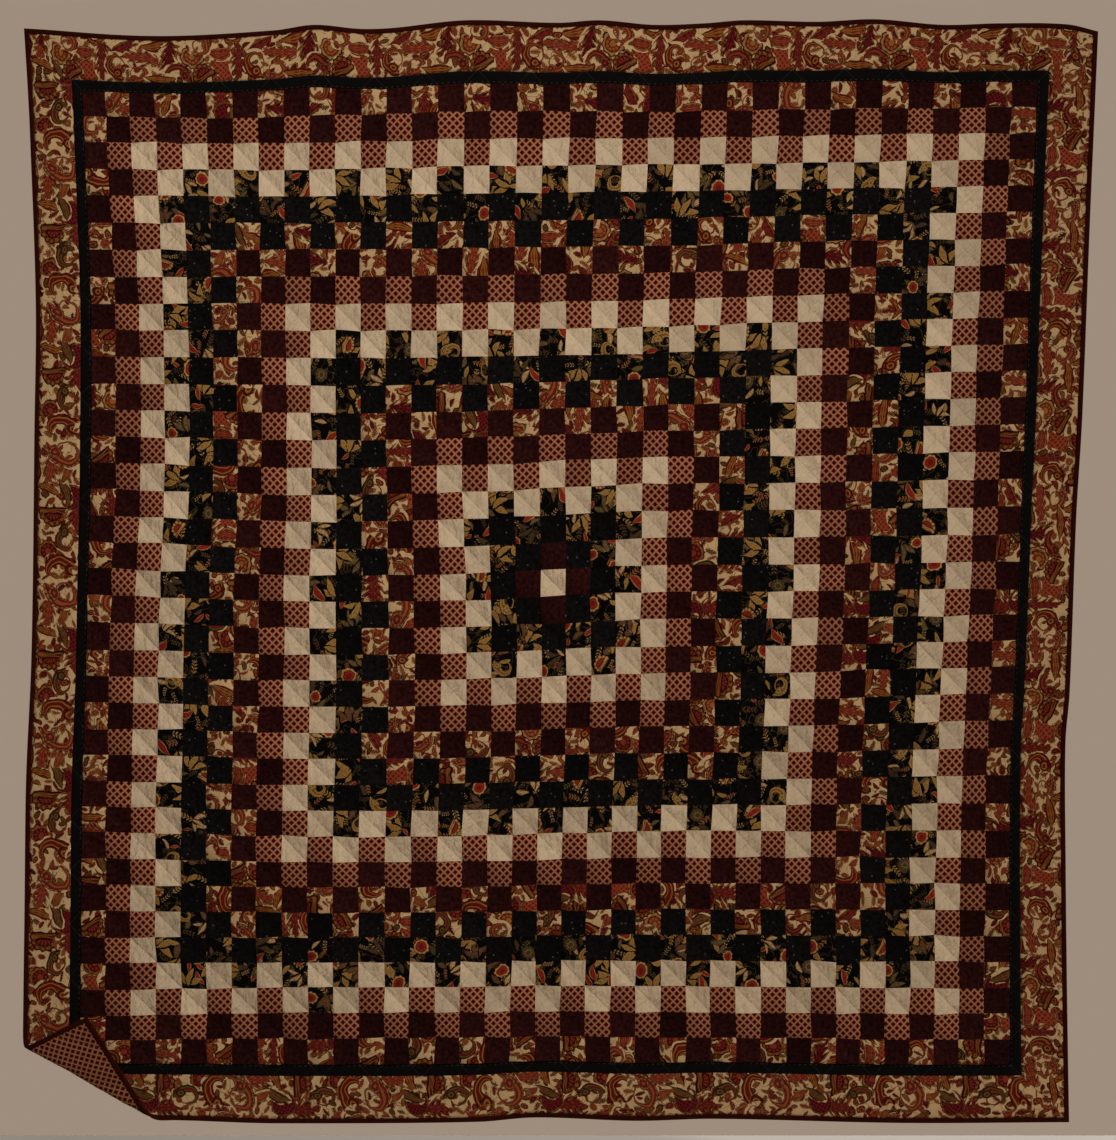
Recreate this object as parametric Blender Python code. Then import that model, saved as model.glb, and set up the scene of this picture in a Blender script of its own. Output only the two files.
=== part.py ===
# A square patchwork quilt, hanging by its top edge with its lower left corner turned forward and up.
# Metres, +Z up. The front faces -Y, and the origin is the middle of the hanging edge.
# Each piece is made flat, in its cut size, and then hung: flat places are (across, down) from the
# quilt's middle, and hung places are (across, drop) from the middle of the hanging edge.
import math
from bisect import bisect_right
from functools import lru_cache

import bmesh
import bpy
from mathutils import Vector

# Cut sizes
SQUARES = 37
SQUARE = 0.0508
INNER_BORDER = 0.019
OUTER_BORDER = 0.089
BINDING = 0.0095
GAP = 0.0003  # between neighbouring pieces
TOUCHING = 1e-6  # points this near a cutting plane lie on it

# Layers, measured forward from the middle of the cloth
FRONT = 0.0025
PUFF = 0.0036  # top of a padded diamond between the quilting lines
DITCH = 0.0017  # along the quilting lines
TOP_BACK = -0.0009
BACKING_BACK = -0.0025
BINDING_HALF = 0.0031
BINDING_NOSE = 0.0014  # half the thickness of the binding's outermost edge
BINDING_FLAT = 0.65  # share of the binding's width before it rounds over

# Half widths of the flat quilt's rings
FIELD = SQUARES * SQUARE / 2
INNER_EDGE = FIELD + INNER_BORDER
OUTER_EDGE = INNER_EDGE + OUTER_BORDER
RIM = OUTER_EDGE + BINDING

# Where the squares hang. Columns are counted in squares from the middle, and so are rows.
COLUMNS = (-16, -10, -4, 4, 10, 16)
ROWS = (-16, -10, -4, 0, 4, 10, 16)
ACROSS = (
    (-0.818, -0.518, -0.215, 0.199, 0.504, 0.810),
    (-0.804, -0.516, -0.217, 0.189, 0.494, 0.800),
    (-0.802, -0.514, -0.217, 0.187, 0.488, 0.792),
    (-0.812, -0.518, -0.211, 0.183, 0.485, 0.786),
    (-0.816, -0.518, -0.209, 0.183, 0.477, 0.776),
    (-0.821, -0.522, -0.217, 0.175, 0.469, 0.766),
    (-0.821, -0.520, -0.221, 0.173, 0.469, 0.762),
)
DROP = (
    (0.263, 0.263, 0.257, 0.255, 0.249, 0.245),
    (0.580, 0.580, 0.580, 0.574, 0.562, 0.556),
    (0.895, 0.903, 0.899, 0.883, 0.880, 0.873),
    (1.104, 1.114, 1.112, 1.095, 1.093, 1.090),
    (1.315, 1.321, 1.319, 1.307, 1.306, 1.297),
    (1.622, 1.626, 1.626, 1.618, 1.618, 1.618),
    (1.929, 1.923, 1.921, 1.923, 1.925, 1.927),
)

# The four edges as they hang. The top sags between the places that hold it. (across, drop)
TOP_EDGE = (
    (-1.057, 0.011),
    (-0.782, 0.026),
    (-0.552, 0.015),
    (-0.473, 0.004),
    (-0.382, 0.012),
    (-0.317, 0.010),
    (-0.175, -0.005),
    (0.000, 0.000),
    (0.079, -0.005),
    (0.181, 0.004),
    (0.280, 0.001),
    (0.359, -0.005),
    (0.504, -0.002),
    (0.617, -0.007),
    (0.749, 0.004),
    (0.863, 0.001),
    (0.995, 0.003),
    (1.057, 0.017),
)
BOTTOM_EDGE = (
    (-1.057, 2.158),
    (-0.745, 2.162),
    (-0.552, 2.168),
    (-0.138, 2.164),
    (-0.024, 2.156),
    (0.181, 2.164),
    (0.339, 2.160),
    (0.731, 2.167),
    (1.057, 2.166),
)
# (drop, across)
LEFT_EDGE = (
    (0.011, -1.056),
    (0.220, -1.043),
    (0.550, -1.033),
    (0.810, -1.037),
    (1.250, -1.043),
    (1.510, -1.054),
    (1.800, -1.056),
    (2.158, -1.060),
)
RIGHT_EDGE = (
    (0.017, 1.060),
    (0.330, 1.047),
    (0.770, 1.030),
    (0.980, 1.017),
    (1.320, 1.004),
    (1.420, 0.996),
    (1.650, 0.997),
    (2.166, 1.003),
)
EDGE_REACH = RIM - max(ROWS) * SQUARE  # how far in from the rim an edge's own shape is felt

# Soft waves through the hanging cloth: height, length across, length down, start of the wave
WAVES = (
    (0.0060, 1.60, 5.20, 0.4),
    (0.0040, 0.95, -3.10, 2.0),
    (0.0030, -2.40, 1.30, 4.4),
)
STEADY = 0.35  # the waves grow over this much cloth below the hanging edge

# The turned corner
FOLD_AT = (-0.908, 2.0785)  # a point where the cloth starts to turn, across and drop
FOLD_SLOPE = math.radians(29)
FOLD_RADIUS = 0.012
FOLD_TURN = math.radians(172)
FOLD_SLIDE = 0.13  # the turned corner slips this share sideways along the fold
FOLD_STEPS = 14
CALM = 0.30  # the waves die out over this much cloth before the fold

FOLD_ALONG = (math.cos(FOLD_SLOPE), math.sin(FOLD_SLOPE))
FOLD_OUT = (-math.sin(FOLD_SLOPE), math.cos(FOLD_SLOPE))
SIDES = ("top", "right", "bottom", "left")

# Colour, roughness and metallic of each cloth
CLOTHS = {
    "patchwork": ((0.105, 0.045, 0.032), 0.85, 0.0),
    "black": ((0.008, 0.008, 0.009), 0.85, 0.0),
    "paisley": ((0.235, 0.085, 0.035), 0.85, 0.0),
    "maroon": ((0.028, 0.004, 0.007), 0.80, 0.0),
    "lattice": ((0.150, 0.055, 0.028), 0.85, 0.0),
}


# Curves through the tables
def through(points, at):
    """A smooth curve through (place, value) points, straight beyond its ends."""
    slopes = []
    for i in range(len(points)):
        before = points[max(i - 1, 0)]
        after = points[min(i + 1, len(points) - 1)]
        slopes.append((after[1] - before[1]) / (after[0] - before[0]))
    if at <= points[0][0]:
        return points[0][1] + slopes[0] * (at - points[0][0])
    for i in range(len(points) - 1):
        (start, low), (end, high) = points[i], points[i + 1]
        if at <= end:
            step = end - start
            t = (at - start) / step
            bend = slopes[i] * (1 - t) ** 2 * t - slopes[i + 1] * (1 - t) * t * t
            return low + (high - low) * t * t * (3 - 2 * t) + bend * step
    return points[-1][1] + slopes[-1] * (at - points[-1][0])


def field(table, across, down):
    """The hung value of a table at a flat place."""
    places = [column * SQUARE for column in COLUMNS]
    values = [through(list(zip(places, row)), across) for row in table]
    return through(list(zip([row * SQUARE for row in ROWS], values)), down)


def fade(distance, reach):
    """1 at no distance, falling softly to 0 at the reach."""
    t = min(max(distance / reach, 0.0), 1.0)
    return (1 - t) ** 2 * (1 + 2 * t)


def hang(across, down):
    """The hung place, as across and drop, of a flat place."""
    drop = field(DROP, across, down)
    drop += fade(down + RIM, EDGE_REACH) * (through(TOP_EDGE, across) - field(DROP, across, -RIM))
    drop += fade(RIM - down, EDGE_REACH) * (through(BOTTOM_EDGE, across) - field(DROP, across, RIM))
    hung = field(ACROSS, across, down)
    hung += fade(across + RIM, EDGE_REACH) * (through(LEFT_EDGE, drop) - field(ACROSS, -RIM, down))
    hung += fade(RIM - across, EDGE_REACH) * (through(RIGHT_EDGE, drop) - field(ACROSS, RIM, down))
    return hung, drop


def past_fold(across, drop):
    """How far along the fold a hung place is, and how far past its start."""
    x = across - FOLD_AT[0]
    y = drop - FOLD_AT[1]
    return x * FOLD_ALONG[0] + y * FOLD_ALONG[1], x * FOLD_OUT[0] + y * FOLD_OUT[1]


def wave(across, drop):
    """How far forward the hanging cloth lies: nowhere at its hanging edge, nor near the fold."""
    forward = 0.0
    for height, wide, tall, start in WAVES:
        forward += height * math.sin(2 * math.pi * (across / wide + drop / tall) + start)
    clear = -past_fold(across, drop)[1] - 2 * SQUARE
    return forward * (1 - fade(drop, STEADY)) * (1 - fade(clear, CALM))


def lattice(half):
    """The lines on which cloth of this half width is divided: two squares apart, and at each seam."""
    lines = [(2 * i - SQUARES / 2) * SQUARE for i in range(SQUARES // 4 + 1)]
    lines += [-line for line in lines]
    lines += [sign * edge for sign in (-1, 1) for edge in (INNER_EDGE, OUTER_EDGE)]
    inside = [line for line in lines if abs(line) < half - GAP]
    return sorted([-half, *inside, half])


LINES = lattice(RIM)


@lru_cache(maxsize=None)
def knot(i, k):
    """Where two crossing lines of the lattice hang: across, drop and how far forward."""
    across, drop = hang(LINES[i], LINES[k])
    return across, drop, wave(across, drop)


def cell(place):
    """The lattice line before a place, and the share of the way to the next one."""
    i = min(max(bisect_right(LINES, place) - 1, 0), len(LINES) - 2)
    return i, (place - LINES[i]) / (LINES[i + 1] - LINES[i])


def hung(across, down):
    """As hang and wave, but straight between the lattice's lines, so that all layers lie alike."""
    i, s = cell(across)
    k, t = cell(down)
    upper = [a + (b - a) * s for a, b in zip(knot(i, k), knot(i + 1, k))]
    lower = [a + (b - a) * s for a, b in zip(knot(i, k + 1), knot(i + 1, k + 1))]
    return [a + (b - a) * t for a, b in zip(upper, lower)]


def turn_corner(point):
    """The final place of a hung point, which moves only past the start of the fold."""
    across, layer, drop = point.x, -point.y, -point.z
    along, past = past_fold(across, drop)
    if past <= 0:
        return point
    turned = min(past / FOLD_RADIUS, FOLD_TURN)
    rest = past - FOLD_RADIUS * turned
    out = (FOLD_RADIUS - layer) * math.sin(turned) + rest * math.cos(turned)
    forward = FOLD_RADIUS - (FOLD_RADIUS - layer) * math.cos(turned) + rest * math.sin(turned)
    along += FOLD_SLIDE * past
    across = FOLD_AT[0] + along * FOLD_ALONG[0] + out * FOLD_OUT[0]
    drop = FOLD_AT[1] + along * FOLD_ALONG[1] + out * FOLD_OUT[1]
    return Vector((across, -forward, -drop))


# Making pieces
def cloth(name):
    """The Principled material of one cloth."""
    material = bpy.data.materials.get(name)
    if material is None:
        colour, roughness, metallic = CLOTHS[name]
        material = bpy.data.materials.new(name)
        material.use_nodes = True
        shader = material.node_tree.nodes["Principled BSDF"]
        shader.inputs["Base Color"].default_value = (*colour, 1.0)
        shader.inputs["Roughness"].default_value = roughness
        shader.inputs["Metallic"].default_value = metallic
    return material


def split_quads(bm):
    """Cuts each quad of a front or back towards the quilt's middle, the same way in every layer."""
    bm.normal_update()
    for face in list(bm.faces):
        if len(face.verts) != 4 or abs(face.normal.y) < 0.9:
            continue
        middle = face.calc_center_median()
        lean = 1 if middle.x * middle.z > 0 else -1
        first, *_, last = sorted(face.verts, key=lambda v: v.co.x + lean * v.co.z)
        if not any(edge in last.link_edges for edge in first.link_edges):
            bmesh.utils.face_split(face, first, last)


def cut(bm, point, normal, trim=False):
    """Divides a piece with a plane, and drops what lies beyond it if it is to be trimmed."""
    everything = [*bm.verts, *bm.edges, *bm.faces]
    bmesh.ops.bisect_plane(
        bm, geom=everything, dist=TOUCHING, plane_co=point, plane_no=normal, clear_outer=trim
    )


def cut_for_fold(bm):
    """Divides the hung, unfolded cloth along the lines on which the fold bends it."""
    normal = Vector((FOLD_OUT[0], 0, -FOLD_OUT[1]))
    start = Vector((FOLD_AT[0], 0, -FOLD_AT[1]))
    for step in range(FOLD_STEPS + 1):
        cut(bm, start + normal * (FOLD_RADIUS * FOLD_TURN * step / FOLD_STEPS), normal)


def finish(bm, name, cloth_name):
    """Hangs and folds a flat closed piece, and makes it an object."""
    bmesh.ops.recalc_face_normals(bm, faces=bm.faces)
    split_quads(bm)
    for vert in bm.verts:
        across, drop, forward = hung(vert.co.x, -vert.co.z)
        vert.co = (across, vert.co.y - forward, -drop)
    cut_for_fold(bm)
    bmesh.ops.triangulate(bm, faces=bm.faces)
    for vert in bm.verts:
        vert.co = turn_corner(vert.co)
    mesh = bpy.data.meshes.new(name)
    bm.to_mesh(mesh)
    bm.free()
    mesh.materials.append(cloth(cloth_name))
    bpy.context.collection.objects.link(bpy.data.objects.new(name, mesh))


def grid(bm, lines, layer):
    """A square of flat cloth, divided on its lines both ways."""
    rows = [[bm.verts.new((x, -layer, -down)) for x in lines] for down in lines]
    for upper, lower in zip(rows, rows[1:]):
        for i in range(len(lines) - 1):
            bm.faces.new((upper[i], lower[i], lower[i + 1], upper[i + 1]))


def rim_edges(bm):
    return [edge for edge in bm.edges if edge.is_boundary]


def padded_front(bm, half):
    """The pieced front: a padded diamond round each print square, low where quilting lines cross."""
    verts = {}
    reach = SQUARES // 2 + 1
    for j in range(-reach, reach + 1):
        for i in range(-reach, reach + 1):
            layer = PUFF if (i + j) % 2 else DITCH
            verts[i, j] = bm.verts.new((i * SQUARE, -layer, -j * SQUARE))
    for j in range(-reach, reach + 1):
        for i in range(-reach, reach + 1):
            ring = [(i + 1, j), (i, j + 1), (i - 1, j), (i, j - 1), (i + 1, j)]
            for first, second in zip(ring, ring[1:]):
                if (i + j) % 2 and first in verts and second in verts:
                    bm.faces.new((verts[i, j], verts[first], verts[second]))
    for outwards in ((1, 0, 0), (-1, 0, 0), (0, 0, 1), (0, 0, -1)):
        cut(bm, Vector(outwards) * half, outwards, trim=True)
    for edge in rim_edges(bm):
        for vert in edge.verts:
            vert.co.y = -DITCH


def pieced_centre():
    """All the squares as one padded cloth. Its back's rim is divided as finely as its front's."""
    half = FIELD - GAP / 2
    bm = bmesh.new()
    padded_front(bm, half)
    front_rim = set(rim_edges(bm))
    grid(bm, lattice(half), TOP_BACK)
    split_quads(bm)
    for cuts in (1, 3):
        back_rim = [edge for edge in rim_edges(bm) if edge not in front_rim]
        edges = [edge for edge in back_rim if round(2 * edge.calc_length() / SQUARE) == cuts + 1]
        bmesh.ops.subdivide_edges(bm, edges=edges, cuts=cuts)
    bmesh.ops.bridge_loops(bm, edges=rim_edges(bm))
    finish(bm, "pieced_centre", "patchwork")


def on_side(turn, along, radius, layer):
    """The flat point this far along a side and this far out from the quilt's middle."""
    for _ in range(turn):
        along, radius = radius, -along
    return along, -layer, radius


def strip(name, cloth_name, side, inner, outer, section):
    """One mitred side of a frame round the quilt. Its section is (share of the width, layer) points."""
    bm = bmesh.new()
    turn = SIDES.index(side)
    rings = []
    for line in lattice(inner):
        ring = []
        for share, layer in section:
            radius = inner + (outer - inner) * share
            pulled = math.copysign(GAP, line) if abs(line) == inner and share == 0 else 0
            ring.append(bm.verts.new(on_side(turn, line - pulled, radius, layer)))
        rings.append(ring)
    for end, sign in ((0, -1), (len(rings), 1)):
        ring = []
        for k, (share, layer) in enumerate(section):
            radius = inner + (outer - inner) * share
            corner = on_side(turn, sign * (radius - GAP), radius, layer)
            ring.append(bm.verts.new(corner) if share else rings[-1 if end else 0][k])
        rings.insert(end, ring)
    for first, second in zip(rings, rings[1:]):
        for i in range(len(section)):
            k = (i + 1) % len(section)
            corners = list(dict.fromkeys((first[i], first[k], second[k], second[i])))
            if len(corners) > 2:
                bm.faces.new(corners)
    bm.faces.new(rings[0])
    bm.faces.new(rings[-1])
    finish(bm, f"{name}_{side}", cloth_name)


def borders():
    flat = ((0, FRONT), (1, FRONT), (1, TOP_BACK), (0, TOP_BACK))
    rolled = (
        (0, BINDING_HALF),
        (BINDING_FLAT, BINDING_HALF),
        (1, BINDING_NOSE),
        (1, -BINDING_NOSE),
        (BINDING_FLAT, -BINDING_HALF),
        (0, -BINDING_HALF),
    )
    half_gap = GAP / 2
    for side in SIDES:
        strip("inner_border", "black", side, FIELD + half_gap, INNER_EDGE - half_gap, flat)
        strip("outer_border", "paisley", side, INNER_EDGE + half_gap, OUTER_EDGE - half_gap, flat)
        strip("binding", "maroon", side, OUTER_EDGE + half_gap, RIM, rolled)


def backing():
    """The sheet behind the pieced top, which shows where the corner is turned."""
    bm = bmesh.new()
    lines = lattice(OUTER_EDGE - GAP / 2)
    grid(bm, lines, TOP_BACK - GAP)
    grid(bm, lines, BACKING_BACK)
    bmesh.ops.bridge_loops(bm, edges=rim_edges(bm))
    finish(bm, "backing", "lattice")


for leftover in list(bpy.data.objects):
    bpy.data.objects.remove(leftover)
pieced_centre()
borders()
backing()
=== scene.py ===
import math

import bpy
import numpy as np
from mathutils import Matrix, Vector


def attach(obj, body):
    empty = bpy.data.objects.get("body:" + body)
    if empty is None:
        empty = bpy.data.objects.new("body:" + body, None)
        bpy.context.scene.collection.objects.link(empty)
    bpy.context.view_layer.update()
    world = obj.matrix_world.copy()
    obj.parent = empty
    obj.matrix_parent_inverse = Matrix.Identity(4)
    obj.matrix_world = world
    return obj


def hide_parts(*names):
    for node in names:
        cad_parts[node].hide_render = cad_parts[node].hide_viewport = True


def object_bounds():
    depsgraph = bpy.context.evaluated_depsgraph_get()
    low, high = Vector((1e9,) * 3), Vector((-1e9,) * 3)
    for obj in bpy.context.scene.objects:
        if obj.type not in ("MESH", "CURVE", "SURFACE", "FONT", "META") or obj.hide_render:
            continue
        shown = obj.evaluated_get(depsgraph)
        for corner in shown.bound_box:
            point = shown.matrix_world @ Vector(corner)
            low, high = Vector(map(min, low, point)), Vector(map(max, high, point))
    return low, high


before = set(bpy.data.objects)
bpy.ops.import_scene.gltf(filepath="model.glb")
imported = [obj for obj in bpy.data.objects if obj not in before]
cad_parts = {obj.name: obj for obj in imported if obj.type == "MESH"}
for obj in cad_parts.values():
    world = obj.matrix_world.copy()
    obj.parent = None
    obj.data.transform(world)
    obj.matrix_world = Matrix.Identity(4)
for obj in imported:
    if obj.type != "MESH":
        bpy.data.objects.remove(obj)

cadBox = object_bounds()

# The quilt's cut sizes, in metres, and where its squares and edges hang
quilt = {
    "squares": 37,
    "square": 0.0508,
    "innerBorder": 0.019,
    "outerBorder": 0.089,
    "binding": 0.0095,
}
half = quilt["squares"] // 2
square = quilt["square"]
fieldEdge = quilt["squares"] * square / 2
innerEdge = fieldEdge + quilt["innerBorder"]
outerEdge = innerEdge + quilt["outerBorder"]
rim = outerEdge + quilt["binding"]

hanging = {
    "columns": (-16, -10, -4, 4, 10, 16),  # squares from the middle
    "rows": (-16, -10, -4, 0, 4, 10, 16),
    "across": (
        (-0.818, -0.518, -0.215, 0.199, 0.504, 0.810),
        (-0.804, -0.516, -0.217, 0.189, 0.494, 0.800),
        (-0.802, -0.514, -0.217, 0.187, 0.488, 0.792),
        (-0.812, -0.518, -0.211, 0.183, 0.485, 0.786),
        (-0.816, -0.518, -0.209, 0.183, 0.477, 0.776),
        (-0.821, -0.522, -0.217, 0.175, 0.469, 0.766),
        (-0.821, -0.520, -0.221, 0.173, 0.469, 0.762),
    ),
    "drop": (
        (0.263, 0.263, 0.257, 0.255, 0.249, 0.245),
        (0.580, 0.580, 0.580, 0.574, 0.562, 0.556),
        (0.895, 0.903, 0.899, 0.883, 0.880, 0.873),
        (1.104, 1.114, 1.112, 1.095, 1.093, 1.090),
        (1.315, 1.321, 1.319, 1.307, 1.306, 1.297),
        (1.622, 1.626, 1.626, 1.618, 1.618, 1.618),
        (1.929, 1.923, 1.921, 1.923, 1.925, 1.927),
    ),
    "topEdge": (  # (across, drop)
        (-1.057, 0.011), (-0.782, 0.026), (-0.552, 0.015), (-0.473, 0.004), (-0.382, 0.012),
        (-0.317, 0.010), (-0.175, -0.005), (0.000, 0.000), (0.079, -0.005), (0.181, 0.004),
        (0.280, 0.001), (0.359, -0.005), (0.504, -0.002), (0.617, -0.007), (0.749, 0.004),
        (0.863, 0.001), (0.995, 0.003), (1.057, 0.017),
    ),
    "bottomEdge": (
        (-1.057, 2.158), (-0.745, 2.162), (-0.552, 2.168), (-0.138, 2.164), (-0.024, 2.156),
        (0.181, 2.164), (0.339, 2.160), (0.731, 2.167), (1.057, 2.166),
    ),
    "leftEdge": (  # (drop, across)
        (0.011, -1.056), (0.220, -1.043), (0.550, -1.033), (0.810, -1.037), (1.250, -1.043),
        (1.510, -1.054), (1.800, -1.056), (2.158, -1.060),
    ),
    "rightEdge": (
        (0.017, 1.060), (0.330, 1.047), (0.770, 1.030), (0.980, 1.017), (1.320, 1.004),
        (1.420, 0.996), (1.650, 0.997), (2.166, 1.003),
    ),
    "waves": (  # height, length across, length down, start
        (0.0060, 1.60, 5.20, 0.4),
        (0.0040, 0.95, -3.10, 2.0),
        (0.0030, -2.40, 1.30, 4.4),
    ),
    "steady": 0.35,
    "calm": 0.30,
}
edgeReach = rim - max(hanging["rows"]) * square

# The lower left corner, turned forward and up
corner = {
    "at": (-0.908, 2.0785),
    "slope": math.radians(29),
    "radius": 0.012,
    "turn": math.radians(172),
    "slide": 0.13,
}


def through(points, at):
    # a smooth curve through (place, value) points, straight beyond its ends
    slopes = []
    for i in range(len(points)):
        before = points[max(i - 1, 0)]
        after = points[min(i + 1, len(points) - 1)]
        slopes.append((after[1] - before[1]) / (after[0] - before[0]))
    value = points[0][1] + slopes[0] * (at - points[0][0])
    for i in range(len(points) - 1):
        (start, low), (end, high) = points[i], points[i + 1]
        t = (at - start) / (end - start)
        bend = slopes[i] * (1 - t) ** 2 * t - slopes[i + 1] * (1 - t) * t * t
        between = low + (high - low) * t * t * (3 - 2 * t) + bend * (end - start)
        value = np.where(at > start, between, value)
    beyond = points[-1][1] + slopes[-1] * (at - points[-1][0])
    return np.where(at > points[-1][0], beyond, value)


def field(table, across, down):
    # the hung value of a table at a flat place
    columns = [column * square for column in hanging["columns"]]
    values = [through(list(zip(columns, row)), across) for row in hanging[table]]
    return through(list(zip([row * square for row in hanging["rows"]], values)), down)


def fade(distance, reach):
    # 1 at no distance, falling softly to 0 at the reach
    t = np.clip(distance / reach, 0, 1)
    return (1 - t) ** 2 * (1 + 2 * t)


def hang(across, down):
    # the hung place, as across and drop, of a flat place
    top = through(hanging["topEdge"], across) - field("drop", across, -rim + 0 * down)
    bottom = through(hanging["bottomEdge"], across) - field("drop", across, rim + 0 * down)
    drop = field("drop", across, down)
    drop = drop + fade(down + rim, edgeReach) * top + fade(rim - down, edgeReach) * bottom
    left = through(hanging["leftEdge"], drop) - field("across", -rim + 0 * across, down)
    right = through(hanging["rightEdge"], drop) - field("across", rim + 0 * across, down)
    hung = field("across", across, down)
    return hung + fade(across + rim, edgeReach) * left + fade(rim - across, edgeReach) * right, drop


def pastFold(across, drop):
    # how far along the fold a hung place is, and how far past its start
    x = across - corner["at"][0]
    y = drop - corner["at"][1]
    cosine, sine = math.cos(corner["slope"]), math.sin(corner["slope"])
    return x * cosine + y * sine, y * cosine - x * sine


def wave(across, drop):
    # how far forward the hanging cloth lies: nowhere at its hanging edge, nor near the fold
    forward = 0 * across
    for height, wide, tall, start in hanging["waves"]:
        forward = forward + height * np.sin(2 * math.pi * (across / wide + drop / tall) + start)
    clear = -pastFold(across, drop)[1] - 2 * square
    return forward * (1 - fade(drop, hanging["steady"])) * (1 - fade(clear, hanging["calm"]))


def place(across, down, layer):
    # the final place of a flat point of the cloth, this far forward of the cloth's middle
    hungAcross, drop = hang(across, down)
    forward = wave(hungAcross, drop) + layer
    along, past = pastFold(hungAcross, drop)
    radius, cosine, sine = corner["radius"], math.cos(corner["slope"]), math.sin(corner["slope"])
    turned = np.clip(past / radius, 0, corner["turn"])
    rest = past - radius * turned
    out = (radius - forward) * np.sin(turned) + rest * np.cos(turned)
    lifted = radius - (radius - forward) * np.cos(turned) + rest * np.sin(turned)
    along = along + corner["slide"] * past
    folded = past > 0
    x = np.where(folded, corner["at"][0] + along * cosine - out * sine, hungAcross)
    z = np.where(folded, corner["at"][1] + along * sine + out * cosine, drop)
    return x, -np.where(folded, lifted, forward), -z


def clothSheet(name, body, flatAcross, flatDown, layer, uv=None):
    # a grid of cloth moved to its hung place, with its flat metres, or others, as its UV map
    rows, columns = flatAcross.shape
    for thing in bpy.context.selected_objects:
        thing.select_set(False)
    bpy.ops.mesh.primitive_grid_add(x_subdivisions=columns - 1, y_subdivisions=rows - 1, size=2)
    sheet = bpy.context.active_object
    sheet.name = name
    sheet.data.name = name
    mesh = sheet.data
    flat = np.empty(len(mesh.vertices) * 3)
    mesh.vertices.foreach_get("co", flat)
    flat = flat.reshape(-1, 3)
    column = np.rint((flat[:, 0] + 1) / 2 * (columns - 1)).astype(int)
    row = np.rint((1 - flat[:, 1]) / 2 * (rows - 1)).astype(int)
    x, y, z = place(flatAcross, flatDown, layer)
    spots = np.stack((x[row, column], y[row, column], z[row, column]), axis=1)
    mesh.vertices.foreach_set("co", spots.ravel())
    u, v = uv or (flatAcross, flatDown)
    corners = np.empty(len(mesh.loops), dtype=int)
    mesh.loops.foreach_get("vertex_index", corners)
    while mesh.uv_layers:
        mesh.uv_layers.remove(mesh.uv_layers[0])
    layerOfUv = mesh.uv_layers.new(name="cloth")
    spread = np.stack((u[row, column][corners], v[row, column][corners]), axis=1)
    layerOfUv.data.foreach_set("uv", spread.ravel())
    mesh.update()
    bpy.ops.object.shade_smooth()
    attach(sheet, body)
    return sheet


def facePlaces(sheet):
    # the flat middle of each face, from its UV map
    uv = np.empty(len(sheet.data.loops) * 2)
    sheet.data.uv_layers["cloth"].data.foreach_get("uv", uv)
    return uv.reshape(-1, 4, 2).mean(axis=1)


padding = {
    "fullness": 2.2,  # how steeply the cloth rises from a quilting line
    "crossed": 0.24,  # how much lower it lies on the lines of the other diagonal
}


def quilting(across, down):
    # 0 on the quilting lines, 1 in the middle of each padded diamond
    x, y = across / square, down / square
    rises = []
    for diagonal in (x - y, x + y):
        rises.append(1 - np.abs(diagonal % 2 - 1) ** padding["fullness"])
    crossed = padding["crossed"]
    return rises[0] * (1 - crossed + crossed * rises[1])


def ripples(across, down, shortest, longest, count, seed):
    # small uneven swells of the cloth, about 1 high, the shorter ones lower
    random = np.random.default_rng(seed)
    height = 0 * across
    for length in np.geomspace(shortest, longest, count):
        angle, start = random.uniform(0, 2 * math.pi, 2)
        turn = 2 * math.pi * (across * math.cos(angle) + down * math.sin(angle)) / length
        height = height + np.sin(turn + start) * (length / longest) ** 0.6
    return height / math.sqrt(count / 2)


# Materials as formulas
class Wire:
    # one value in a material, which adds and multiplies like a number
    def __init__(self, tree, socket):
        self.tree = tree
        self.socket = socket

    def math(self, operation, *others):
        return wired(self.tree, "Math", (self,) + others, operation=operation)

    def __add__(self, other):
        return self.math("ADD", other)

    def __sub__(self, other):
        return self.math("SUBTRACT", other)

    def __rsub__(self, other):
        return wired(self.tree, "Math", (other, self), operation="SUBTRACT")

    def __mul__(self, other):
        return self.math("MULTIPLY", other)

    def __truediv__(self, other):
        return self.math("DIVIDE", other)

    __radd__ = __add__
    __rmul__ = __mul__


def plug(tree, socket, value):
    if isinstance(value, Wire):
        tree.links.new(value.socket, socket)
    else:
        socket.default_value = value


def wired(tree, kind, values, output=0, **settings):
    # a node with its values plugged in, by number or by name
    node = tree.nodes.new(f"ShaderNode{kind}")
    for name, setting in settings.items():
        setattr(node, name, setting)
    pairs = values.items() if isinstance(values, dict) else enumerate(values)
    for key, value in pairs:
        plug(tree, node.inputs[key], value)
    return Wire(tree, node.outputs[output])


def above(value, edge, blur):
    # 0 below the edge and 1 above it, with a soft step
    sockets = {0: value, 1: edge - blur, 2: edge + blur, 3: 0.0, 4: 1.0}
    return wired(value.tree, "MapRange", sockets)


def below(value, edge, blur):
    return above(value, edge, blur) * -1.0 + 1.0


def near(value, middle, reach, blur):
    return below((value - middle).math("ABSOLUTE"), reach, blur)


def mixed(share, first, second):
    # a colour between two colours
    tree = share.tree
    ends = [value if isinstance(value, Wire) else (*value, 1.0) for value in (first, second)]
    sockets = {0: share, 6: ends[0], 7: ends[1]}
    return wired(tree, "Mix", sockets, output=2, data_type="RGBA")


def vector(tree, operation, *values, output=0):
    return wired(tree, "VectorMath", values, output=output, operation=operation)


def joined(x, y, z=0.0):
    return wired(x.tree, "CombineXYZ", (x, y, z))


def parts(wire):
    node = wire.tree.nodes.new("ShaderNodeSeparateXYZ")
    plug(wire.tree, node.inputs[0], wire)
    return [Wire(wire.tree, socket) for socket in node.outputs]


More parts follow.
